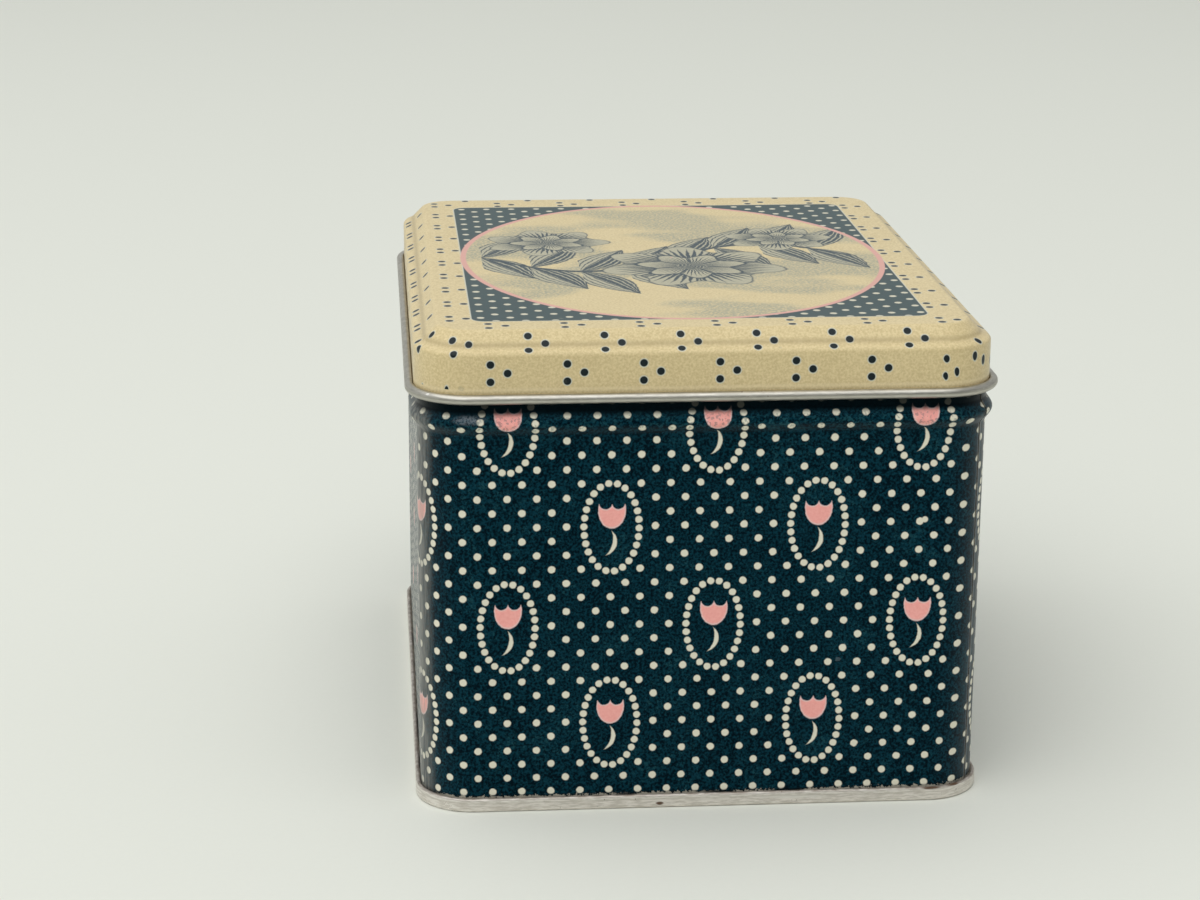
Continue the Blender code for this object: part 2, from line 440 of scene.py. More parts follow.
def newMaterial(name, constants):
    material = bpy.data.materials.new(name)
    material.use_nodes = True
    tree = material.node_tree
    shader = tree.nodes["Principled BSDF"]
    for socket, value in constants.items():
        shader.inputs[socket].default_value = value
    return material, tree, shader


def placeOnObject(tree):
    return Value(addNode(tree, "ShaderNodeTexCoord").outputs["Object"])


def placeOnPrint(tree):
    return Value(addNode(tree, "ShaderNodeUVMap", uv_map="printMap").outputs[0])


def bumpFrom(shader, height, strength, distance):
    bump = addNode(shader.id_data, "ShaderNodeBump")
    bump.inputs["Strength"].default_value = strength
    bump.inputs["Distance"].default_value = distance
    feed(bump.inputs["Height"], height)
    feed(shader.inputs["Normal"], Value(bump.outputs[0]))


def inMetres(lengths):
    return tuple(length * mm for length in lengths)


def awayFrom(place, spot, size):  # distance from a spot in mm, in shares of a size in mm
    return lengthOf((place - inMetres(spot)) * tuple(1.0 / length for length in inMetres(size)))


# Bare tinplate, for the base, the lid's curl and the insides
def tinMaterial(name, look):
    material, tree, shader = newMaterial(name, {"Metallic": 1.0, "Anisotropic": 0.0})
    place = placeOnObject(tree)
    height = parts(place)[2]
    grain, stain, rust = useGroup(tinGrain, place, Rust=look["rust"])
    scratch, unused = useGroup(wearMarks, place, Amount=look["wear"])
    colour = blendColour(stain, look["colour"], look["stained"])
    colour = blendColour(above(grain, 0.5, 0.16) * look["streak"], colour, look["dark"])
    colour = blendColour(scratch, colour, look["bright"])
    # painted shade on the underside of the lid's curl: darker below a set height, where the curl faces down
    if "paintedShadeBelow" in look:
        undersideShade = below(height, look["paintedShadeBelow"], 0.4 * mm)
        colour = blendColour(undersideShade * 0.6, colour, look["dark"])
    for spot, size in look.get("marks", ()):
        rust = highest(rust, below(awayFrom(place, spot, size) + grain, 1.3, 0.25))
    # darker flecks along the top of the base's seam: dirt, and painted shade that dulls the seam's top edge highlight
    if "edgeDirtAndShade" in look:
        edge = above(height, look["edgeDirtAndShade"], 0.18 * mm)
        colour = blendColour(edge * (grain * 0.9 + 0.1), colour, look["rustColour"])
    # a dark line round the sheet at a set height: on the base a faint line on the seam, on the lid's curl a painted
    # reflection, the dark band along the curl's middle
    if "groove" in look:
        line = below(abs(height - look["groove"]), 0.12 * mm, 0.2 * mm)
        colour = blendColour(line * 0.55, colour, look["dark"])
    colour = blendColour(rust, colour, look["rustColour"])
    feed(shader.inputs["Base Color"], colour)
    feed(shader.inputs["Roughness"], look["roughness"] + (stain - 0.5) * 0.35 + rust * 0.4)
    feed(shader.inputs["Metallic"], look["metallic"] * (1.0 - rust * 0.85))
    bumpFrom(shader, grain * 0.4 + (rust * 0.6 - scratch), 0.25, 0.08 * mm)
    return material


# The offset from the nearest point of a grid that also has a point in the middle of each cell
def nearestOffset(vector):
    corner = vector - calc("FLOOR", vector + (0.5, 0.5, 0.0))
    middle = vector - (calc("FLOOR", vector) + (0.5, 0.5, 0.0))
    reach = calc("DOT_PRODUCT", abs(corner), (1.0, 1.0, 0.0))
    return blendVector(reach < 0.5, middle, corner)


farOff = 9.0    # added to a distance to take its dot away


def discMask(offset, radius, softness):
    return below(lengthOf(offset), radius, softness)


# Body: the printed wall sheet with its stop bead, hem, hook and lock seam

bodyShape = {
    "beadHalfHeight": 2.9 * mm,
    "beadProud": 1.5 * mm,
    "beadFullness": 0.8,
    "beadMiddle": 90.3 * mm,
    "beadSteps": 28,
    "hemLength": 2.6 * mm,
    "hemRadius": sheet + 0.10 * mm,
    "foldSteps": 8,
    "wallRows": 14,
    "lockAngle": math.radians(53.0),
    "lockWidth": 3.0 * mm,
    "lockSlit": 0.15 * mm,
    "lockOverlap": 0.6 * mm,
    "weldInset": 0.04 * mm,
    "lockFoot": 4.4 * mm,
    "lockHead": 100.82 * mm,
    "lockFoldSteps": 5,
    "lockRunSteps": 3,
    "wave": 0.30 * mm,      # how far the flat walls sag inwards
    "waveFoot": 6.0 * mm,
    "waveHeight": 80.0 * mm,
    "waveRun": 22.0 * mm,
    "wallBand": 4.0 * mm,   # a point this near the front or back belongs to that wall
}

bodyPrint = {
    "pitch": 6.545 * mm,
    "turn": -0.0025,
    "middleX": -1.622 * mm,
    "middleHeight": 63.248 * mm,
    "dotRadius": 0.125,
    "ringDotRadius": 0.119,
    "ringDots": 26,
    "pull": 2.05 * mm,
    "pullLength": 8.6 * mm,
    "ringSize": (0.932, 1.555),
    "ringShift": (0.017, -0.042),
    "medallionStep": 7.0,
    "medallionStart": (0.5, -3.0),
    "lowestRing": -8.5,
    "edge": 0.022,
    "navy": (0.0002, 0.0042, 0.0085),
    "navyLight": (0.0030, 0.0335, 0.0520),
    "fleck": (0.018, 0.085, 0.105),
    "worn": (0.20, 0.23, 0.26),
    "wearAndSheen": (0.30, 0.29, 0.26),
    "cream": (0.80, 0.765, 0.625),
    "pink": (1.0, 0.475, 0.43),
    "pinkDeep": (0.95, 0.405, 0.365),
    "pinkEdge": (0.86, 0.62, 0.60),
    "metal": (0.50, 0.47, 0.40),
    "rubbed": ((-52.7, -80.4, 91.6), (4.4, 2.0, 1.3)),   # place and size, in mm
    "smear": (48.6, -79.0, 66.8),
    "smearSize": 0.68 * mm,
    "cupMiddle": (0.03, 0.553),      # the tulip and its stem, in dot pitches
    "cupSize": (0.468, 0.634),
    "cupTop": 0.768,
    "scallop": (0.2185, 0.8155),
    "scallopRadius": 0.2195,
    "cupRim": 0.035,
    "stemOuter": ((0.060, -0.20), (0.204, -0.487), (-0.14, -1.01)),
    "stemInner": ((0.040, -0.20), (0.066, -0.560), (-0.155, -1.01)),
    "ringClear": 1.265,              # no plain dots within this share of a ring
    "ringEvenness": 0.125,           # spaces the dots evenly round the ring's long sides
    "ringStart": 0.12,
    "grain": 1700.0,
    "shakeScale": 1400.0,
    "shake": 0.04,
    "darkAboveSeamTop": 3.5 * mm,
    "chipTop": 3.3 * mm,
    "chipReach": 3.2 * mm,
    "crownHalf": 1.7 * mm,
    "ridgeHalf": 0.75 * mm,
    # where the front left corner's wear and painted sheen begin
    "wearAndSheenFrom": (-61.6 * mm, -65.0 * mm),
    # the band of painted shade under the lid's rim, by height
    "paintedShadeBand": (92.4 * mm, 95.2 * mm),
    "darkAboveSeamColour": (0.004, 0.005, 0.005),
    "paintedShade": (0.001, 0.0015, 0.002),
}


def circleThrough(first, second, third):
    (ax, ay), (bx, by), (cx, cy) = first, second, third
    double = 2.0 * (ax * (by - cy) + bx * (cy - ay) + cx * (ay - by))
    squares = (ax * ax + ay * ay, bx * bx + by * by, cx * cx + cy * cy)
    x = (squares[0] * (by - cy) + squares[1] * (cy - ay) + squares[2] * (ay - by)) / double
    y = (squares[0] * (cx - bx) + squares[1] * (ax - cx) + squares[2] * (bx - ax)) / double
    return (x, y), math.hypot(ax - x, ay - y)


# Signed distance outside a small tulip cup: an ellipse with two scallops cut from its top
def tulipDistance(local):
    x, y, unused = parts(local)
    (middleX, middleY), (wide, tall) = bodyPrint["cupMiddle"], bodyPrint["cupSize"]
    fromMiddle = x - middleX
    cup = (lengthOf(joined(fromMiddle / wide, (y - middleY) / tall)) - 1.0) * 0.5
    scallopX, scallopY = bodyPrint["scallop"]
    scallop = lengthOf(joined(abs(fromMiddle) - scallopX, y - scallopY))
    return highest(cup, bodyPrint["scallopRadius"] - scallop, y - bodyPrint["cupTop"])


def stemDistance(local):
    outer, outerRadius = circleThrough(*bodyPrint["stemOuter"])
    inner, innerRadius = circleThrough(*bodyPrint["stemInner"])
    inOuter = lengthOf(local - (*outer, 0.0)) - outerRadius
    offInner = innerRadius - lengthOf(local - (*inner, 0.0))
    return highest(inOuter, offInner)


def ringOffset(local):
    wide, tall = bodyPrint["ringSize"]
    step = fullTurn / bodyPrint["ringDots"]
    x, y, unused = parts(local)
    angle = calc("ARCTAN2", y / tall, x / wide)
    even, start = bodyPrint["ringEvenness"], bodyPrint["ringStart"]
    along = angle + sineOf(angle * 2.0) * even
    dotAlong = (calc("ROUND", along * (1.0 / step) + start) - start) * step
    first = sineOf(dotAlong * 2.0) * -even + dotAlong
    dotAngle = sineOf(first * 2.0) * -even + dotAlong
    dot = joined(cosineOf(dotAngle) * wide, sineOf(dotAngle) * tall)
    return joined(x, y) - dot


def bodyMaterial():
    look = bodyPrint
    material, tree, shader = newMaterial("bodyPrint", {"Specular Tint": (0.0, 0.08, 0.12, 1.0), "Coat Weight": 0.3,
                                                       "Coat Roughness": 0.2, "Coat IOR": 1.1})
    place = placeOnObject(tree)
    printPlace = shaken(placeOnPrint(tree), place, look["shakeScale"], look["shake"])

    # the regular dots, left out where a ring sits
    offset = nearestOffset(printPlace)
    step = look["medallionStep"]
    inSteps = (printPlace - (*look["medallionStart"], 0.0)) * (1.0 / step)
    local = nearestOffset(inSteps) * step
    dotPlace = (local - offset) * (1.0 / look["ringSize"][0], 1.0 / look["ringSize"][1], 0.0)
    ringRow = parts(printPlace)[1] - parts(local)[1]
    printed = ringRow > look["lowestRing"]
    kept = lengthOf(dotPlace) + (1.0 - printed) * farOff > look["ringClear"]
    dots = discMask(offset, look["dotRadius"], look["edge"]) * kept

    # the rings of dots with a tulip in each
    centred = local - (*look["ringShift"], 0.0)
    ring = discMask(ringOffset(centred), look["ringDotRadius"], look["edge"])
    stem = below(stemDistance(local), 0.0, look["edge"])
    cup = tulipDistance(local)
    cream = highest(dots, highest(ring, stem) * printed)
    cupMask = below(cup, 0.0, look["edge"]) * printed
    cupInner = below(cup, -look["cupRim"], look["edge"]) * printed

    ink, fleck = useGroup(inkMottle, place, Grain=look["grain"], Flecks=0.5)
    navy = blendColour(above(ink, 0.51, 0.12), look["navy"], look["navyLight"])
    navy = blendColour(fleck, navy, look["fleck"])
    colour = blendColour(cream, navy, look["cream"])
    colour = blendColour(cupMask, colour, look["pinkEdge"])
    colour = blendColour(cupInner, colour, blendColour(above(ink, 0.5, 0.2), look["pink"], look["pinkDeep"]))

    # chips along the base seam, a darker band just above it, worn spots on the bead, and painted highlight flecks
    # along the bead's crown
    height = parts(place)[2]
    chipNoise = cloud(place, 1100.0, 3.0, 0.7)
    chipPlace = height + (chipNoise - 0.5) * -look["chipReach"]
    chips = below(chipPlace, look["chipTop"], 0.12 * mm) * above(cloud(place, 75.0), 0.45, 0.05)
    # darker, and rougher, just above the base seam
    darkAboveSeam = below(height, look["darkAboveSeamTop"], 0.45 * mm) * 0.85
    colour = blendColour(darkAboveSeam, colour, look["darkAboveSeamColour"])
    colour = blendColour(chips, colour, look["metal"])
    scratch, nick = useGroup(wearMarks, place, Amount=0.6)
    # painted highlight: lighter flecks along the bead's crown
    crown = below(abs(height - bodyShape["beadMiddle"]), look["crownHalf"], 1.0 * mm)
    paintedCrownHighlight = crown * above(cloud(place, 1500.0), 0.56, 0.05)
    colour = blendColour(paintedCrownHighlight * 0.4, colour, look["fleck"])
    seam = placePoint((1.0, -1.0, lockLine), 0.0, 0.0)
    fromSeam = lengthOf((place - tuple(seam)) * (1.0, 1.0, 0.0))
    ridge = below(fromSeam, look["ridgeHalf"], 0.25 * mm) * (chipNoise * 0.9)
    rubbed = below(awayFrom(place, *look["rubbed"]), 0.75, 0.4) * above(cloud(place, 2300.0, 2.0, 0.7), 0.47, 0.14)
    colour = blendColour(highest(nick * 0.6, ridge, rubbed * 0.75), colour, look["worn"])

    # varnish rubbed dull on the front left corner, and painted sheen there: a lighter streaked band standing in for
    # the corner's grazing reflection
    across, deep, unused = parts(place)
    streaks = cloud(place * (1.0, 1.0, 0.12), 1200.0, 3.0, 0.65)
    wearAndSheen = below(across, look["wearAndSheenFrom"][0], 1.9 * mm) * below(deep, look["wearAndSheenFrom"][1], 11.0 * mm)
    colour = blendColour(wearAndSheen * (above(streaks, 0.5, 0.14) * 0.5 + 0.28), colour, look["wearAndSheen"])
    smear = lengthOf(place - inMetres(look["smear"]))
    colour = blendColour(below(smear, look["smearSize"], 0.15 * mm), colour, look["cream"])

    # painted shade under the lid's rim: the print darkened in a band below the curl, where the rim's shadow falls
    paintedShade = above(height, look["paintedShadeBand"][0], 0.6 * mm) * below(height, look["paintedShadeBand"][1], 0.5 * mm)
    feed(shader.inputs["Base Color"], blendColour(paintedShade * 0.93, colour, look["paintedShade"]))
    feed(shader.inputs["Metallic"], chips * 0.6)
    feed(shader.inputs["Roughness"], 0.3 + ink * 0.22 + darkAboveSeam * 0.3)
    bumpFrom(shader, (cream + cupMask) * 0.5 + ink * 0.6 - scratch, 0.3, 0.05 * mm)
    return material


def beadRise():
    points = []
    for step in range(bodyShape["beadSteps"] + 1):
        across = 2.0 * step / bodyShape["beadSteps"] - 1.0
        swell = (0.5 + 0.5 * math.cos(math.pi * across)) ** bodyShape["beadFullness"]
        points.append((bodyShape["beadProud"] * swell, bodyShape["beadMiddle"] + bodyShape["beadHalfHeight"] * across))
    return points


def bodyFace():
    radius = bodyShape["hemRadius"]
    turnHeight = tin["height"] - radius
    face = [(-2.0 * radius, turnHeight - bodyShape["hemLength"])]
    face += arcPoints((-radius, turnHeight), radius, math.pi, -math.pi, bodyShape["foldSteps"])
    face += beadRise()[::-1]
    face += splitRun(face[-1], (0.0, seamBottom), bodyShape["wallRows"])[:-1]
    face += arcPoints((hookPlace / 2.0, seamBottom), seamInner, math.pi, math.pi, bodyShape["foldSteps"])
    return face + [(hookPlace, seamTop)]


def bodyPrintPlace(along, height):  # in dot pitches, from the length along the wall and the flat sheet's height
    x = along - bodyFrontMiddle - bodyPrint["middleX"]
    pulled = max(0.0, (along - perimeter) / bodyPrint["pullLength"] + 1.0)
    x -= bodyPrint["pull"] * pulled ** 1.8     # the sheet is drawn tight towards the lock seam
    z = height - bodyPrint["middleHeight"]
    cosine, sine = math.cos(bodyPrint["turn"]), math.sin(bodyPrint["turn"])
    return ((cosine * x + sine * z) / bodyPrint["pitch"], (cosine * z - sine * x) / bodyPrint["pitch"])


def waveInward(point):  # a gentle sag of the flat walls, none at corners, seams or bead
    heightShare = (point.z - bodyShape["waveFoot"]) / bodyShape["waveHeight"]
    if not 0.0 < heightShare < 1.0:
        return point
    edgeX = halfWidth - tin["cornerRadius"] - abs(point.x)
    edgeY = halfDepth - tin["cornerRadius"] - abs(point.y)
    onEnd = abs(point.y) > halfDepth - bodyShape["wallBand"]
    edge = max(0.0, edgeX if onEnd else edgeY)
    share = min(1.0, edge / bodyShape["waveRun"]) ** 2 * math.sin(math.pi * heightShare)
    depth = bodyShape["wave"] * share * (0.55 + 0.45 * noise.noise(Vector(point) * 22.0))
    if onEnd:
        return point + Vector((0.0, -math.copysign(depth, point.y), 0.0))
    return point + Vector((-math.copysign(depth, point.x), 0.0, 0.0))


lockLine = bodyShape["lockAngle"] - quarterTurn
lockRadius = (3.0 * sheet + 2.0 * tin["seamGap"]) / 2.0
perimeter = 4.0 * (halfWidth + halfDepth - 2.0 * tin["cornerRadius"]) + fullTurn * tin["cornerRadius"]
bodyFrontMiddle = perimeter - bodyShape["lockAngle"] * tin["cornerRadius"] - (halfWidth - tin["cornerRadius"])


def layerRun(first, last, depth):
    steps = bodyShape["lockRunSteps"]
    return [(first + (last - first) * step / steps, depth) for step in range(1, steps + 1)]


def frontFold():  # the front's end turns inwards and back under itself
    turn = -lockRadius
    middle = (turn, lockRadius)
    steps, inset, overlap = bodyShape["lockFoldSteps"], bodyShape["weldInset"], bodyShape["lockOverlap"]
    third = 2.0 * seamLayer
    outline = [(turn - overlap, inset), (turn, inset)]
    outline += arcPoints(middle, lockRadius - inset, -quarterTurn, quarterTurn, steps)[1:]
    outline += arcPoints(middle, lockRadius, 0.0, quarterTurn, steps)[1:]
    outline += layerRun(turn, turn - bodyShape["lockWidth"], third + sheet)
    outline += [(turn - bodyShape["lockWidth"], third)]
    outline += layerRun(turn - bodyShape["lockWidth"], turn, third)
    outline += arcPoints(middle, lockRadius - sheet, quarterTurn, -math.pi, 2 * steps)[1:-1]
    outline += [(turn, sheet - inset), (turn - overlap, sheet - inset)]
    return outline, lambda index: 1 <= index <= 2 * steps + 1


def sideFold():  # the side's end steps in under the front's, then turns outwards into its fold
    turn = -bodyShape["lockWidth"] - tin["seamGap"] - lockRadius
    middle = (turn, seamLayer + lockRadius)
    hookEnd = -lockRadius - tin["seamGap"]
    steps, inset, slit = bodyShape["lockFoldSteps"], bodyShape["weldInset"], bodyShape["lockSlit"]
    fourth = 3.0 * seamLayer
    root = slit + bodyShape["lockOverlap"]
    outline = [(root, inset), (root, sheet - inset), (slit + sheet, sheet - inset), (slit + sheet, fourth + sheet)]
    outline += layerRun(slit + sheet, turn, fourth + sheet)
    outline += arcPoints(middle, lockRadius, quarterTurn, math.pi, 2 * steps)[1:]
    outline += layerRun(turn, hookEnd, seamLayer)
    outline += [(hookEnd, seamLayer + sheet)]
    outline += layerRun(hookEnd, turn, seamLayer + sheet)
    outline += arcPoints(middle, lockRadius - sheet, -quarterTurn, -math.pi, 2 * steps)[1:]
    outline += layerRun(turn, slit, fourth)
    outline += [(slit, inset)]
    return outline, lambda index: index == len(outline) - 1


def foldPiece(name, outline, printed, heights):
    levels = [(0.0, bodyShape["lockFoot"])] + beadRise() + [(0.0, bodyShape["lockHead"])]
    mesh = bmesh.new()
    rows = []
    printPlaces = {}
    for before, (swell, height), after in zip(levels[:1] + levels, levels, levels[1:] + levels[-1:]):
        rise = after[1] - before[1]
        stretch = math.hypot(after[0] - before[0], rise) / rise
        row = []
        for along, depth in outline:
            station = (1.0, -1.0, lockLine + along / tin["cornerRadius"])
            vert = mesh.verts.new(placePoint(station, swell - depth * stretch, height))
            printPlaces[vert] = bodyPrintPlace(along % perimeter, heights(height))
            row.append(vert)
        rows.append(row)
    skinRows(mesh, rows, True, printed)
    for row in (rows[0], rows[-1]):
        mesh.faces.new(row).material_index = 1
    bmesh.ops.recalc_face_normals(mesh, faces=mesh.faces)
    return finishPiece(name, mesh, [], printPlaces)


def buildBody(materials):
    face = bodyFace()
    section = face + otherFace(face)[::-1]
    lengths = developed(face, 0.0)
    foot = next(length for length, (offset, height) in zip(lengths, face)
                if abs(offset) < nothing and height <= seamBottom + nothing)
    sheetHeights = [seamBottom + foot - length for length in lengths]   # height on the flat sheet
    mesh = bmesh.new()
    rows = []
    printPlaces = {}
    for station in stationWalk(lockLine + bodyShape["lockSlit"] / tin["cornerRadius"],
                               lockLine - lockRadius / tin["cornerRadius"] + fullTurn, lockLine):
        row = []
        for index, (offset, height) in enumerate(section):
            vert = mesh.verts.new(waveInward(placePoint(station, offset, height)))
            printPlaces[vert] = bodyPrintPlace(station[3], sheetHeights[min(index, len(section) - 1 - index)])
            row.append(vert)
        rows.append(row)
    skinRows(mesh, rows, True, lambda index: index < len(face) - 1)
    for row in (rows[0], rows[-1]):
        mesh.faces.new(row).material_index = 1
    bmesh.ops.recalc_face_normals(mesh, faces=mesh.faces)
    body = finishPiece("bodyShell", mesh, materials, printPlaces)

    def flatHeight(height):
        steps = zip(face, face[1:], sheetHeights, sheetHeights[1:])
        for (offsetA, heightA), (offsetB, heightB), lengthA, lengthB in steps:
            if heightB <= height <= heightA and offsetA >= -nothing and offsetB >= -nothing:
                return lengthA + (lengthB - lengthA) * (heightA - height) / max(heightA - heightB, nothing)
        return height

    for name, (outline, printed) in (("frontFold", frontFold()), ("sideFold", sideFold())):
        fold = foldPiece(name, outline, printed, flatHeight)
        for material in materials:
            fold.data.materials.append(material)
        union = body.modifiers.new(name, "BOOLEAN")
        union.operation = "UNION"
        union.solver = "EXACT"
        union.object = fold
        bpy.context.view_layer.update()
        solid = bpy.data.meshes.new_from_object(body.evaluated_get(bpy.context.evaluated_depsgraph_get()))
        body.modifiers.clear()
        body.data = solid
        bpy.data.objects.remove(fold, do_unlink=True)
    shadeEdges(body)
    return body


innerLook = {"colour": (0.62, 0.60, 0.54), "stained": (0.50, 0.47, 0.40), "dark": (0.36, 0.34, 0.30),
             "bright": (0.80, 0.79, 0.75), "rustColour": (0.14, 0.06, 0.025), "rust": 0.15, "wear": 0.5,
             "roughness": 0.30, "metallic": 0.8, "streak": 0.35}
innerTin = tinMaterial("innerTin", innerLook)
body = buildBody([bodyMaterial(), innerTin])
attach(body, "box")
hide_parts("body_wall")
print("body built:", len(body.data.polygons), "faces")


# Base: the stamped bottom sheet, hooked round the foot of the wall in the double seam

baseShape = {
    "panelHeight": 3.3 * mm,
    "panelBend": 0.4 * mm,
    "footBend": 0.30 * mm,
    "stepInset": 7.0 * mm,
    "stepRun": 1.0 * mm,
    "stepRise": 0.7 * mm,
    "bendSteps": 6,
    "foldSteps": 12,
    "innerRings": 6,
}

# the darker flecked top edge of the seam is dirt and painted shade
baseLook = {"colour": (0.90, 0.87, 0.82), "stained": (0.76, 0.71, 0.64), "dark": (0.50, 0.46, 0.40),
            "bright": (0.80, 0.78, 0.72), "rustColour": (0.10, 0.055, 0.03), "rust": 0.5, "wear": 0.8,
            "roughness": 0.33, "metallic": 0.45, "streak": 0.70, "groove": 2.15 * mm, "edgeDirtAndShade": 2.95 * mm,
            "marks": (((52.6, -80.3, 3.1), (3.2, 1.0, 0.5)), ((58.0, -79.5, 3.2), (2.4, 3.0, 0.4)),
                      ((-9.9, -80.3, 1.1), (1.0, 1.0, 0.5)))}   # rust spots: place and size, in mm


def baseFace():
    stepTop = baseShape["panelHeight"] + baseShape["stepRise"]
    stepEnd = -(baseShape["stepInset"] + baseShape["stepRun"])
    hookMiddle = (hookPlace + sheet / 2.0, seamTop)
    wall = 3.0 * seamLayer - sheet
    corners = [(-tin["panelReach"], stepTop), (stepEnd, stepTop), (-baseShape["stepInset"], baseShape["panelHeight"]),
               (-seamLayer, baseShape["panelHeight"]), (-seamLayer, sheet), (wall, sheet), (wall, seamTop)]
    bends = [baseShape["panelBend"]] * 3 + [baseShape["footBend"]] * 2
    face = bentPath(corners, bends, baseShape["bendSteps"])[:-1]
    face = face[:1] + splitRun(face[0], face[1], baseShape["innerRings"]) + face[2:]
    face += arcPoints(hookMiddle, seamInner, 0.0, math.pi, baseShape["foldSteps"])
    return face + [(seamLayer, seamBottom)]


def buildBase(material):
    mesh, printPlaces = panMesh(baseFace(), stationWalk(-quarterTurn, 3.0 * quarterTurn, 0.0))
    base = finishPiece("baseShell", mesh, [material, material], printPlaces)
    shadeEdges(base)
    return base


base = buildBase(tinMaterial("baseTin", baseLook))
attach(base, "box")
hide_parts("base")
print("base built:", len(base.data.polygons), "faces")


# Lid: the printed drawn sheet with raised panel, shoulder, ledge, skirt and bare curled rim

lidShape = {
    "edge": 106.0 * mm,
    "clearance": 0.30 * mm,
    "ledgeInset": 1.5 * mm,
    "ledgeRise": 1.0 * mm,
    "shoulderRun": 3.1 * mm,
    "shoulderRise": 3.2 * mm,
    "panelBend": 1.3 * mm,
    "ledgeBend": 0.9 * mm,
    "edgeBend": 0.8 * mm,
    "skirtDrop": 9.9 * mm,
    "curlRadius": 1.10 * mm,
    "curlSweep": math.radians(303.0),
    "curlSteps": 40,
    "bendSteps": 8,
    "skirtRows": 4,
    "innerRings": 12,
    "wave": 0.12 * mm,      # how far the panel dips
    "waveEdge": 8.0 * mm,
    "waveRun": 14.0 * mm,
}

lidPrint = {
    "groupCell": (16.62, 14.55),
    "groupStart": (4.09, -85.2),
    "pairHalf": 1.92,
    "thirdHalf": 1.85,
    "dotRadius": 0.85,
    "halo": 0.20,
    "pitch": 6.545,
    "dotShare": 0.128,
    "dotStart": (-49.0, -62.64),
    "panelHalf": (50.75, 65.1),
    "panelMiddle": (-0.25, -1.1),
    "panelCorner": 3.0,
    "ovalHalf": (51.1, 65.8),
    "border": 1.35,
    "cream": (0.765, 0.63, 0.36),
    "creamDeep": (0.62, 0.495, 0.26),
    "dotNavy": (0.002, 0.009, 0.012),
    "navy": (0.010, 0.034, 0.040),
    "navyLight": (0.024, 0.068, 0.074),
    "inkNavy": (0.010, 0.036, 0.056),
    "pink": (0.72, 0.38, 0.32),
    "pale": (0.60, 0.64, 0.60),
    "leafTone": (0.25, 0.31, 0.30),
    # colour of the painted shade in the crease
    "paintedShade": (0.36, 0.28, 0.14),
    "tone": (0.34, 0.34, 0.25),
    "smallDot": (0.66, 0.62, 0.48),
    # colour of the painted highlight where the skirt rolls out
    "paintedRollHighlight": (0.92, 0.78, 0.50),
    "grain": 1900.0,
    "printFoot": 98.0 * mm,         # where the skirt rolls out, and the dots end
    "creaseHeight": 107.4 * mm,
    "speck": (-57.45, -79.58, 97.4),
    "speckSize": 0.30 * mm,
}

# on the curl, the dark line at mid height is a painted reflection and the darker underside is painted shade
rimLook = {"colour": (0.60, 0.58, 0.53), "stained": (0.49, 0.47, 0.41), "dark": (0.26, 0.25, 0.22),
           "bright": (0.84, 0.83, 0.80), "rustColour": (0.16, 0.09, 0.05), "rust": 0.12, "wear": 0.6,
           "roughness": 0.40, "metallic": 1.0, "streak": 0.35, "groove": 96.1 * mm, "paintedShadeBelow": 95.4 * mm}


def lidFace():
    skirt = lidShape["clearance"] + sheet
    ledge = lidShape["edge"] + lidShape["ledgeRise"]
    panel = ledge + lidShape["shoulderRise"]
    panelEnd = -(lidShape["ledgeInset"] + lidShape["shoulderRun"])
    curlMiddle = lidShape["edge"] - lidShape["skirtDrop"]
    curlPath = lidShape["curlRadius"] - sheet
    corners = [(-tin["panelReach"], panel), (panelEnd, panel), (-lidShape["ledgeInset"], ledge),
               (skirt, lidShape["edge"]), (skirt, curlMiddle)]
    bends = [lidShape["panelBend"], lidShape["ledgeBend"], lidShape["edgeBend"]]
    face = bentPath(corners, bends, lidShape["bendSteps"])[:-1]
    face = face[:1] + splitRun(face[0], face[1], lidShape["innerRings"]) + face[2:]
    face += splitRun(face[-1], (skirt, curlMiddle), lidShape["skirtRows"])[:-1]
    centre = (skirt + curlPath, curlMiddle)
    return face + arcPoints(centre, curlPath, math.pi, lidShape["curlSweep"], lidShape["curlSteps"])


def ovalDistance(place):  # roughly in mm, under 0 inside
    wide, tall = lidPrint["ovalHalf"]
    scaled = place * (1.0 / wide, 1.0 / tall, 0.0)
    length = lengthOf(scaled)
    steep = lengthOf(scaled * (1.0 / wide, 1.0 / tall, 0.0))
    return length * (length - 1.0) / highest(steep, 0.004)   # no division by nothing in the middle


# The picture in the oval: an engraved spray of leaves with three open flowers, all in one ink

sprayLook = {
    "sway": 15.0,             # how far the stem swings to each side, in mm
    "swayLength": 88.0,
    "reach": 41.0,
    "stem": 0.9,
    "leafStep": 11.5,
    "leafLength": 27.0,
    "leafHalf": 5.2,
    "leafAngle": math.radians(64.0),
    "veinStep": 1.45,
    "flowers": (((4.0, -10.0), 23.0, 0.2), ((-29.0, 19.0), 16.0, 0.9), ((29.0, 21.0), 14.0, 1.7)),
    "petals": 7.0,
    "rays": 56.0,
}


def stripes(value, step, share, softness=0.09):  # lines across a value: share of each step inked
    saw = abs(calc("FRACT", value / step) - 0.5)
    return below(saw - share * 0.5, 0.0, softness)


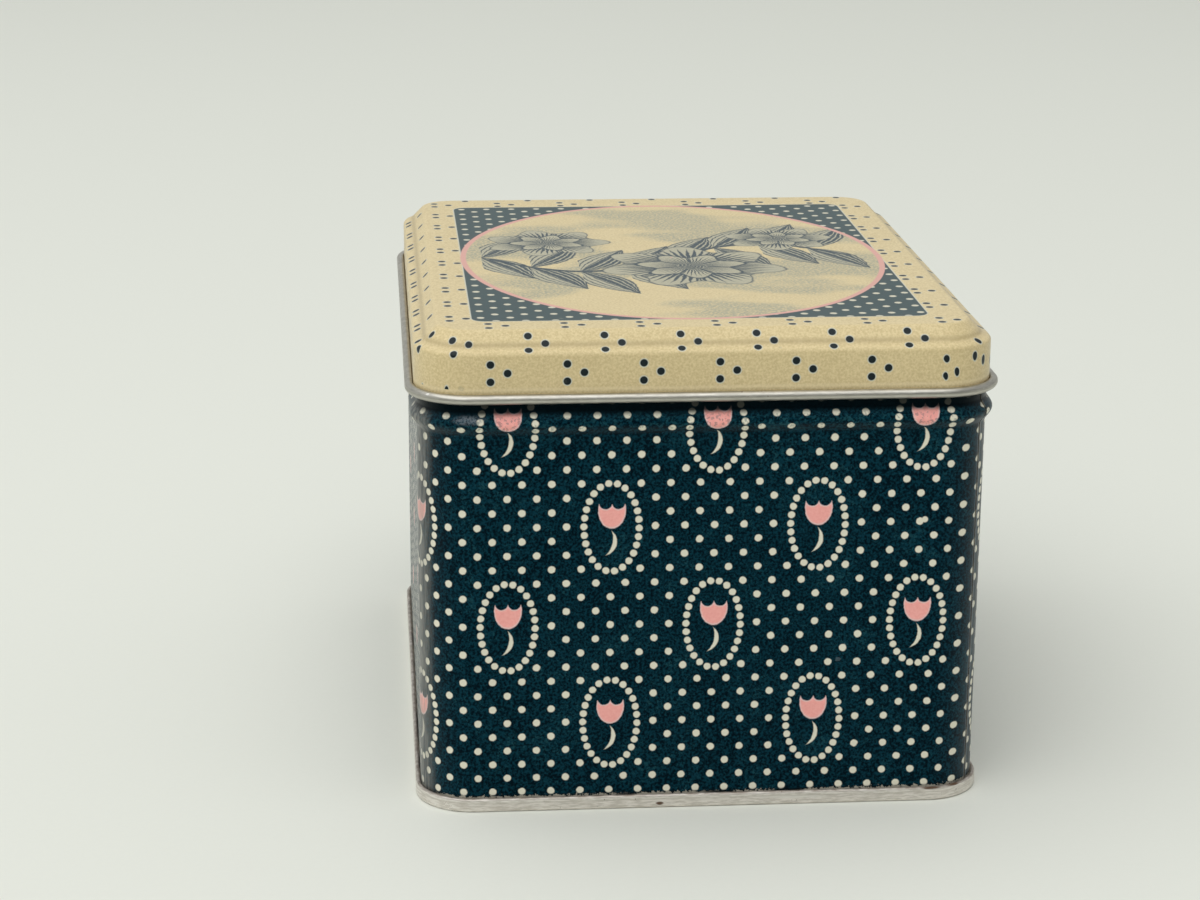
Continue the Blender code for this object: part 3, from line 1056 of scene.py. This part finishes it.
def buildFlowerGroup():
    group, (vector, radius, turn), result = newGroup("engravedFlower", {"Radius": 10.0, "Turn": 0.0}, ("Ink", "Area"))
    x, y, unused = parts(vector)
    length = lengthOf(joined(x, y))
    angle = calc("ARCTAN2", y, x) + turn
    turned = angle * sprayLook["petals"]
    share = length / radius
    wave = cosineOf(turned)
    outer = wave * 0.13 + 0.86
    inner = wave * -0.09 + 0.5
    area = below(share - outer, 0.0, 0.02)
    inInner = share < inner
    rims = lowest(abs(share - outer), abs(share - inner))
    outline = below(rims, 0.022, 0.014)
    # lines where petals meet: the outer ring's and, half a petal on, the inner ring's
    outerJoint = abs(cosineOf(turned * 0.5))
    innerJoint = abs(sineOf(turned * 0.5))
    joint = (innerJoint * inInner + outerJoint * (1.0 - inInner)) * share
    # shading lines run out from the base of each petal
    base = inInner * -0.36 + 0.5
    outward = (share - base) / 0.34
    dark = 0.78 - outward * 0.75
    rays = stripes(angle, fullTurn / sprayLook["rays"], highest(dark, -0.4))
    heart = below(share, 0.15, 0.02) * stripes(length + angle, 0.9, 0.75)
    ink = highest(outline, below(joint, 0.035, 0.02), rays)
    ink = highest(ink * above(share, 0.15, 0.02), heart)
    feed(result["Ink"], ink * area)
    feed(result["Area"], area)
    return group


def leafInk(x, y, back):  # the pair of leaves that starts this many cells back
    look = sprayLook
    wave = fullTurn / look["swayLength"]
    cellNumber = calc("FLOOR", x / look["leafStep"]) - back
    rootX = cellNumber * look["leafStep"]
    rootY = sineOf(rootX * wave) * look["sway"]
    along = x - rootX
    aside = abs(y - rootY)
    cosine, sine = math.cos(look["leafAngle"]), math.sin(look["leafAngle"])
    length = along * cosine + aside * sine
    across = aside * cosine - along * sine
    share = lowest(highest(length / look["leafLength"], 0.0), 1.0)
    half = sineOf(calc("POWER", share, 0.85) * math.pi) * look["leafHalf"]
    beyond = abs(length - share * look["leafLength"])
    off = abs(across) - half + beyond
    inReach = abs(rootX + look["leafStep"] / 2.0) < look["reach"]
    area = below(off, 0.0, 0.2) * inReach
    outline = below(abs(off), 0.42, 0.15)
    vein = below(abs(across), 0.32, 0.12)
    shadowed = (across < 0.0) * 0.4 + 0.28
    lines = stripes(across / highest(half / look["leafHalf"], 0.2), look["veinStep"], shadowed)
    return highest(outline, vein, lines) * area, area


def picture(middle, place, cream, inkTone):
    look = sprayLook
    drawn = shaken(middle, place, 420.0, 0.9)
    x, y, unused = parts(drawn)
    ink, area = leafInk(x, y, 1.0)
    nearer, nearerArea = leafInk(x, y, 0.0)
    ink = ink * (1.0 - nearerArea) + nearer
    area = highest(area, nearerArea)
    stemY = sineOf(x * (fullTurn / look["swayLength"])) * look["sway"]
    stem = below(abs(y - stemY), look["stem"], 0.2) * (abs(x) < look["reach"] + 3.0)
    ink = highest(ink, stem)
    area = highest(area, stem)
    for (flowerX, flowerY), radius, turn in look["flowers"]:
        petalInk, petalArea = useGroup(engravedFlower, drawn - (flowerX, flowerY, 0.0), Radius=radius, Turn=turn)
        ink = ink * (1.0 - petalArea) + petalInk
        area = highest(area, petalArea)
    # soft stippled tone behind the spray, fading out in clouds
    clouds = above(cloud(middle * (0.02, 0.034, 0.0), 1.0, 2.0), 0.48, 0.05)
    stipple = above(cloud(place, 1500.0, 1.0), 0.5, 0.1)
    tone = clouds * (stipple * 0.6 + 0.28) * (1.0 - area)
    colour = blendColour(tone, cream, lidPrint["tone"])
    colour = blendColour(area * 0.55, colour, lidPrint["leafTone"])
    dry = above(inkTone, 0.42, 0.12) * 0.2 + 0.8
    return blendColour(ink * dry, colour, lidPrint["inkNavy"])


engravedFlower = buildFlowerGroup()


def lidMaterial():
    look = lidPrint
    material, tree, shader = newMaterial("lidPrint", {"Specular Tint": (0.5, 0.5, 0.5, 1.0)})
    flat = placeOnPrint(tree)
    place = placeOnObject(tree)
    ink, unused = useGroup(inkMottle, place, Grain=look["grain"], Flecks=0.4)

    # cream ground with groups of three dots
    cream = blendColour(above(ink, 0.5, 0.2), look["cream"], look["creamDeep"])
    cell = look["groupCell"]
    scaled = (flat - (*look["groupStart"], 0.0)) * (1.0 / cell[0], 1.0 / cell[1], 0.0)
    group = nearestOffset(scaled) * (*cell, 0.0)
    x, y, unused = parts(group)
    pair = lengthOf(joined(x + look["thirdHalf"], abs(y) - look["pairHalf"]))
    third = lengthOf(joined(x - look["thirdHalf"], y))
    height = parts(place)[2]
    near = below(height, look["printFoot"], 0.1 * mm) * farOff + lowest(pair, third)
    colour = blendColour(below(near, look["dotRadius"] + look["halo"], 0.12) * 0.8, cream, look["pale"])
    navy = blendColour(above(ink, 0.5, 0.18), look["navy"], look["navyLight"])
    # painted shade in the crease where the ledge meets the shoulder: a darker band at the crease's height
    creaseShade = below(abs(height - look["creaseHeight"]), 0.45 * mm, 0.5 * mm)
    colour = blendColour(creaseShade * 0.5, colour, look["paintedShade"])
    # painted highlight: a lighter band where the skirt rolls out into the curl
    roll = below(abs(height - look["printFoot"]), 0.35 * mm, 0.4 * mm)
    colour = blendColour(roll * 0.4, colour, look["paintedRollHighlight"])
    colour = blendColour(below(near, look["dotRadius"], 0.1), colour, look["dotNavy"])

    # the navy panel with small dots
    middle = flat - (*look["panelMiddle"], 0.0)
    corner = look["panelCorner"]
    reach = abs(middle) - (look["panelHalf"][0] - corner, look["panelHalf"][1] - corner, 0.0)
    edge = lengthOf(highest(reach, (0.0, 0.0, 0.0))) - corner
    colour = blendColour(below(edge, 0.25, 0.12) * 0.7, colour, look["pale"])
    colour = blendColour(below(edge, 0.0, 0.12), colour, navy)
    inPitches = (flat - (*look["dotStart"], 0.0)) * (1.0 / look["pitch"])
    dots = discMask(nearestOffset(inPitches), look["dotShare"], 0.025) * below(edge, -0.2, 0.15)
    colour = blendColour(dots, colour, look["smallDot"])

    # the oval with its pink border
    oval = ovalDistance(middle)
    colour = blendColour(below(oval, 0.0, 0.12), colour, look["pink"])
    colour = blendColour(below(oval, -look["border"], 0.12), colour, picture(middle, place, cream, ink))

    scratch, nick = useGroup(wearMarks, place, Amount=0.5)
    colour = blendColour(nick * 0.5, colour, look["tone"])
    speck = below(lengthOf(place - inMetres(look["speck"])), look["speckSize"], 0.12 * mm)
    feed(shader.inputs["Base Color"], blendColour(speck, colour, look["dotNavy"]))
    feed(shader.inputs["Roughness"], 0.28 + ink * 0.2)
    bumpFrom(shader, ink * 0.6 - scratch, 0.25, 0.05 * mm)
    return material


def buildLid(materials):
    mesh, printPlaces = panMesh(lidFace(), stationWalk(-quarterTurn, 3.0 * quarterTurn, 0.0))
    top = lidShape["edge"] + lidShape["ledgeRise"] + lidShape["shoulderRise"]
    for vert in mesh.verts:
        if vert.co.z > top - 2.0 * sheet:
            edge = min(halfWidth - abs(vert.co.x), halfDepth - abs(vert.co.y)) - lidShape["waveEdge"]
            share = max(0.0, min(1.0, edge / lidShape["waveRun"]))
            vert.co.z -= lidShape["wave"] * share * (1.0 + noise.noise(Vector((vert.co.x, vert.co.y, 0.0)) * 26.0))
    lid = finishPiece("lidShell", mesh, materials, printPlaces)
    shadeEdges(lid)
    return lid


lid = buildLid([lidMaterial(), tinMaterial("rimTin", rimLook)])
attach(lid, "lid")
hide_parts("lid")
print("lid built:", len(lid.data.polygons), "faces")


# Studio: pale floor, soft lamps and the camera

studio = {
    "floorSize": 9.0,
    "floorColour": (0.775, 0.787, 0.726),
    "worldColour": (0.80, 0.82, 0.80),
    "worldStrength": 0.70,
    "shadeColour": (0.64, 0.65, 0.64),   # the right of the room
    "darkColour": (0.07, 0.073, 0.076),   # the room behind the camera
    "fibreColour": (0.45, 0.45, 0.42),
    "lampTarget": (0.0, 0.0, 0.05),
    "cameraPlace": (-0.072857, -0.670648, 0.253023),
    "cameraYaw": 0.0827317,
    "cameraPitch": 0.2772613,
    "cameraRoll": 0.0055068,
    "lens": 84.919,
}


def buildFloor():
    material, tree, shader = newMaterial("paperFloor", {"Roughness": 0.9, "Specular IOR Level": 0.1})
    fibre = cloud(placeOnObject(tree), 700.0, 3.0, 0.6)
    shade = blendColour(fibre * 0.06, studio["floorColour"], studio["fibreColour"])
    feed(shader.inputs["Base Color"], shade)
    mesh = bmesh.new()
    bmesh.ops.create_grid(mesh, x_segments=8, y_segments=8, size=studio["floorSize"] / 2.0)
    finishPiece("floor", mesh, [material], {})


def addLamp(name, place, size, power):
    lamp = bpy.data.lights.new(name, "AREA")
    lamp.shape = "SQUARE"
    lamp.size = size
    lamp.energy = power
    made = bpy.data.objects.new(name, lamp)
    made.location = place
    made.rotation_euler = (Vector(studio["lampTarget"]) - Vector(place)).to_track_quat("-Z", "Y").to_euler()
    bpy.context.collection.objects.link(made)


def buildWorld():
    world = bpy.data.worlds.new("studioWorld")
    bpy.context.scene.world = world
    world.use_nodes = True
    tree = world.node_tree
    background = tree.nodes["Background"]
    x, y, z = parts(Value(addNode(tree, "ShaderNodeTexCoord").outputs["Generated"]))
    room = below(y, -0.45, 0.3) * below(z, 0.45, 0.16)
    wall = blendColour(above(x, 0.45, 0.45), studio["worldColour"], studio["shadeColour"])
    feed(background.inputs["Color"], blendColour(room, wall, studio["darkColour"]))
    background.inputs["Strength"].default_value = studio["worldStrength"]


def buildCamera():
    yaw, pitch, roll = studio["cameraYaw"], studio["cameraPitch"], studio["cameraRoll"]
    forward = Vector((math.sin(yaw) * math.cos(pitch), math.cos(yaw) * math.cos(pitch), -math.sin(pitch)))
    right = forward.cross(Vector((0.0, 0.0, 1.0))).normalized()
    up = right.cross(forward)
    across = math.cos(roll) * right + math.sin(roll) * up
    upright = math.cos(roll) * up - math.sin(roll) * right
    lens = bpy.data.cameras.new("photoCamera")
    lens.lens = studio["lens"]
    lens.sensor_width = 36.0
    lens.sensor_fit = "HORIZONTAL"
    lens.clip_start = 0.02
    lens.clip_end = 50.0
    camera = bpy.data.objects.new("photoCamera", lens)
    turn = Matrix((across, upright, -forward)).transposed().to_4x4()
    camera.matrix_world = Matrix.Translation(Vector(studio["cameraPlace"])) @ turn
    bpy.context.collection.objects.link(camera)
    bpy.context.scene.camera = camera


buildFloor()
buildWorld()
addLamp("topLamp", (-0.75, -0.40, 2.60), 3.8, 48.0)
addLamp("frontLamp", (-0.80, -2.40, 2.60), 3.4, 32.0)
buildCamera()
bpy.context.scene.view_settings.view_transform = "Standard"
print("studio built")
